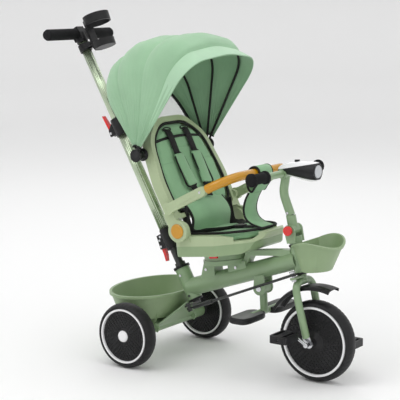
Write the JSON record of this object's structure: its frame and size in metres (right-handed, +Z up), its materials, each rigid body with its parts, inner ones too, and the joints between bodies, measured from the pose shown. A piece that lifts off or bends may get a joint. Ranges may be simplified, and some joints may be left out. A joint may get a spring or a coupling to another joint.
{
  "type": "child's tricycle with push handle",
  "caption": "Child's tricycle: pedal front wheel, steering push handle, swivelling reclining seat, folding canopy, bumper bar, baskets, cup holder and footrest",
  "frame": {"origin": "centre of the footprint on the ground", "axes": "+X is forward, +Y is the rider's left, +Z is up"},
  "size_m": [1.0674, 0.478, 1.11],
  "materials": {
    "frame_spine": "satin powder coat",
    "steering_bushes": "moulded",
    "axle_tube": "satin powder coat",
    "rear_axle": "plated",
    "frame_brackets": "satin powder coat",
    "seat_support": "satin powder coat",
    "rear_basket": "fine moulded grain",
    "front_basket": "fine moulded grain",
    "frame_hardware": "plated",
    "rear_tyre_right": "moulded tread",
    "rear_disc_right": "moulded",
    "rear_trim_right": "gloss",
    "rear_tyre_left": "moulded tread",
    "rear_disc_left": "moulded",
    "rear_trim_left": "gloss",
    "front_tyre": "moulded tread",
    "front_ring": "gloss",
    "front_disc": "moulded",
    "crank_axle": "plated",
    "pedal_right": "moulded",
    "pedal_left": "moulded",
    "fork": "satin powder coat",
    "fork_hardware": "plated",
    "mudguard": "moulded",
    "handlebar": "satin powder coat",
    "handlebar_grips": "matt",
    "pod_shells": "gloss",
    "pod_band": "moulded",
    "pod_lens": "clear",
    "horn_button": "gloss",
    "fold_button": "gloss",
    "steer_post": "satin black",
    "push_tube_lower": "gloss metallic lacquer",
    "tube_clamps": "moulded",
    "steer_rod": "moulded",
    "push_tube_upper": "gloss metallic lacquer",
    "handle_head": "moulded",
    "handle_grips": "matt",
    "upper_lever": "gloss",
    "lower_lever": "gloss",
    "cup_holder": "moulded",
    "turntable_top": "moulded",
    "seat_base": "fine moulded grain",
    "seat_pan": "fine moulded grain",
    "seat_cushion": "woven polyester",
    "crotch_strap": "webbing",
    "swivel_button": "gloss",
    "backrest_shell": "fine moulded grain",
    "pivot_caps": "gloss",
    "backrest_cushion": "woven polyester",
    "harness_straps": "webbing",
    "canopy_mount": "satin black",
    "canopy_fabric": "woven polyester",
    "bumper_bar": "fine moulded grain",
    "bumper_grip": "soft-touch",
    "bow_rear": "plated",
    "bow_middle": "plated",
    "bow_front": "plated",
    "footrest_frame": "satin powder coat",
    "footrest_pads": "matt"
  },
  "bodies": {
    "frame": {"frame_spine": "frame_spine", "steering_bushes": "steering_bushes", "axle_tube": "axle_tube", "rear_axle": "rear_axle", "frame_brackets": "frame_brackets", "seat_support": "seat_support", "rear_basket": "rear_basket", "front_basket": "front_basket", "frame_hardware": "frame_hardware"},
    "rear_wheel_right": {"rear_tyre_right": "rear_tyre_right", "rear_disc_right": "rear_disc_right", "rear_trim_right": "rear_trim_right"},
    "rear_wheel_left": {"rear_tyre_left": "rear_tyre_left", "rear_disc_left": "rear_disc_left", "rear_trim_left": "rear_trim_left"},
    "front_wheel": {"front_tyre": "front_tyre", "front_ring": "front_ring", "front_disc": "front_disc", "crank_axle": "crank_axle"},
    "pedal_right": {"pedal_right": "pedal_right"},
    "pedal_left": {"pedal_left": "pedal_left"},
    "fork": {"fork": "fork", "fork_hardware": "fork_hardware", "mudguard": "mudguard"},
    "handlebar": {"handlebar": "handlebar", "handlebar_grips": "handlebar_grips", "pod_shells": "pod_shells", "pod_band": "pod_band", "pod_lens": "pod_lens"},
    "horn_button": {"horn_button": "horn_button"},
    "fold_button": {"fold_button": "fold_button"},
    "push_post": {"steer_post": "steer_post", "push_tube_lower": "push_tube_lower", "tube_clamps": "tube_clamps"},
    "steer_rod": {"steer_rod": "steer_rod"},
    "push_handle": {"push_tube_upper": "push_tube_upper", "handle_head": "handle_head", "handle_grips": "handle_grips"},
    "upper_lever": {"upper_lever": "upper_lever"},
    "lower_lever": {"lower_lever": "lower_lever"},
    "cup_holder": {"cup_holder": "cup_holder"},
    "seat": {"turntable_top": "turntable_top", "seat_base": "seat_base", "seat_pan": "seat_pan", "seat_cushion": "seat_cushion", "crotch_strap": "crotch_strap"},
    "swivel_button": {"swivel_button": "swivel_button"},
    "backrest": {"backrest_shell": "backrest_shell", "pivot_caps": "pivot_caps", "backrest_cushion": "backrest_cushion", "harness_straps": "harness_straps", "canopy_mount": "canopy_mount", "canopy_fabric": "canopy_fabric"},
    "bumper": {"bumper_bar": "bumper_bar", "bumper_grip": "bumper_grip"},
    "bow_rear": {"bow_rear": "bow_rear"},
    "bow_middle": {"bow_middle": "bow_middle"},
    "bow_front": {"bow_front": "bow_front"},
    "footrest": {"footrest_frame": "footrest_frame", "footrest_pads": "footrest_pads"}
  },
  "joints": [
    {"name": "rear_wheel_right_spin", "type": "hinge", "parent": "frame", "child": "rear_wheel_right", "pos_m": [-0.1553, 0, 0.103], "axis": [0, 1, 0], "continuous": true},
    {"name": "rear_wheel_left_spin", "type": "hinge", "parent": "frame", "child": "rear_wheel_left", "pos_m": [-0.1553, 0, 0.103], "axis": [0, 1, 0], "continuous": true},
    {"name": "fork_steer", "type": "hinge", "parent": "frame", "child": "fork", "pos_m": [0.3527, 0, 0.322], "axis": [-0.225, 0, 0.9744], "range_deg": [-22, 22]},
    {"name": "front_wheel_spin", "type": "hinge", "parent": "fork", "child": "front_wheel", "pos_m": [0.4087, 0, 0.125], "axis": [0, 1, 0], "continuous": true},
    {"name": "pedal_right_spin", "type": "hinge", "parent": "front_wheel", "child": "pedal_right", "pos_m": [0.36107, 0, 0.1525], "axis": [0, 1, 0], "continuous": true},
    {"name": "pedal_left_spin", "type": "hinge", "parent": "front_wheel", "child": "pedal_left", "pos_m": [0.45633, 0, 0.0975], "axis": [0, 1, 0], "continuous": true},
    {"name": "handlebar_fold", "type": "hinge", "parent": "fork", "child": "handlebar", "pos_m": [0.32152, 0, 0.45705], "axis": [0, 1, 0], "range_deg": [0, 50]},
    {"name": "fold_button_press", "type": "slide", "parent": "fork", "child": "fold_button", "axis": [0, 1, 0], "range_m": [0, 0.003], "stiffness_N_per_m": 300},
    {"name": "horn_button_press", "type": "slide", "parent": "handlebar", "child": "horn_button", "axis": [0.0599, 0, -0.9982], "range_m": [0, 0.002], "stiffness_N_per_m": 300},
    {"name": "handle_steer", "type": "hinge", "parent": "frame", "child": "push_post", "pos_m": [-0.0943, 0, 0.287], "axis": [-0.4894, 0, 0.8721], "range_deg": [-22, 22]},
    {"name": "steer_rod_swing", "type": "hinge", "parent": "push_post", "child": "steer_rod", "pos_m": [-0.03019, -0.05, 0.17276], "axis": [-0.4891, -0.034, 0.8716], "range_deg": [-22, 22]},
    {"name": "handle_height", "type": "slide", "parent": "push_post", "child": "push_handle", "axis": [-0.4894, 0, 0.8721], "range_m": [-0.1, 0]},
    {"name": "upper_lever_open", "type": "hinge", "parent": "push_post", "child": "upper_lever", "pos_m": [-0.37136, 0, 0.70716], "axis": [0, -1, 0], "range_deg": [0, 60]},
    {"name": "lower_lever_open", "type": "hinge", "parent": "push_post", "child": "lower_lever", "pos_m": [-0.16897, 0, 0.35059], "axis": [0, 1, 0], "range_deg": [0, 60]},
    {"name": "cup_holder_tilt", "type": "hinge", "parent": "push_handle", "child": "cup_holder", "pos_m": [-0.4579, 0, 1.00032], "axis": [0, 1, 0], "range_deg": [-8, 12]},
    {"name": "seat_swivel", "type": "hinge", "parent": "frame", "child": "seat", "pos_m": [0.0807, 0, 0.327], "axis": [-0.1219, 0, 0.9925], "range_deg": [-180, 180]},
    {"name": "swivel_button_press", "type": "slide", "parent": "seat", "child": "swivel_button", "axis": [0, 1, 0], "range_m": [0, 0.003], "stiffness_N_per_m": 300},
    {"name": "backrest_recline", "type": "hinge", "parent": "seat", "child": "backrest", "pos_m": [0.0167, 0, 0.446], "axis": [0, -1, 0], "range_deg": [0, 9], "deforming": ["crotch_strap"]},
    {"name": "bumper_lift", "type": "hinge", "parent": "backrest", "child": "bumper", "pos_m": [-0.00717, 0, 0.51576], "axis": [0, -1, 0], "range_deg": [0, 45]},
    {"name": "canopy_fold", "type": "hinge", "parent": "backrest", "child": "bow_front", "pos_m": [-0.1253, 0, 0.67], "axis": [0, -1, 0], "range_deg": [0, 47], "deforming": ["canopy_fabric"]},
    {"name": "bow_middle_fold", "type": "hinge", "parent": "backrest", "child": "bow_middle", "pos_m": [-0.1253, 0, 0.67], "axis": [0, -1, 0], "range_deg": [0, 33]},
    {"name": "bow_rear_fold", "type": "hinge", "parent": "backrest", "child": "bow_rear", "pos_m": [-0.1253, 0, 0.67], "axis": [0, -1, 0], "range_deg": [0, 11.1]},
    {"name": "footrest_fold", "type": "hinge", "parent": "frame", "child": "footrest", "pos_m": [0.2147, 0, 0.264], "axis": [0, 1, 0], "range_deg": [0, 40]}
  ],
  "couplings": [
    {"joint": "handle_steer", "follows": "fork_steer", "ratio": 1},
    {"joint": "steer_rod_swing", "follows": "fork_steer", "ratio": -1},
    {"joint": "bow_middle_fold", "follows": "canopy_fold", "ratio": 0.7},
    {"joint": "bow_rear_fold", "follows": "canopy_fold", "ratio": 0.234}
  ]
}
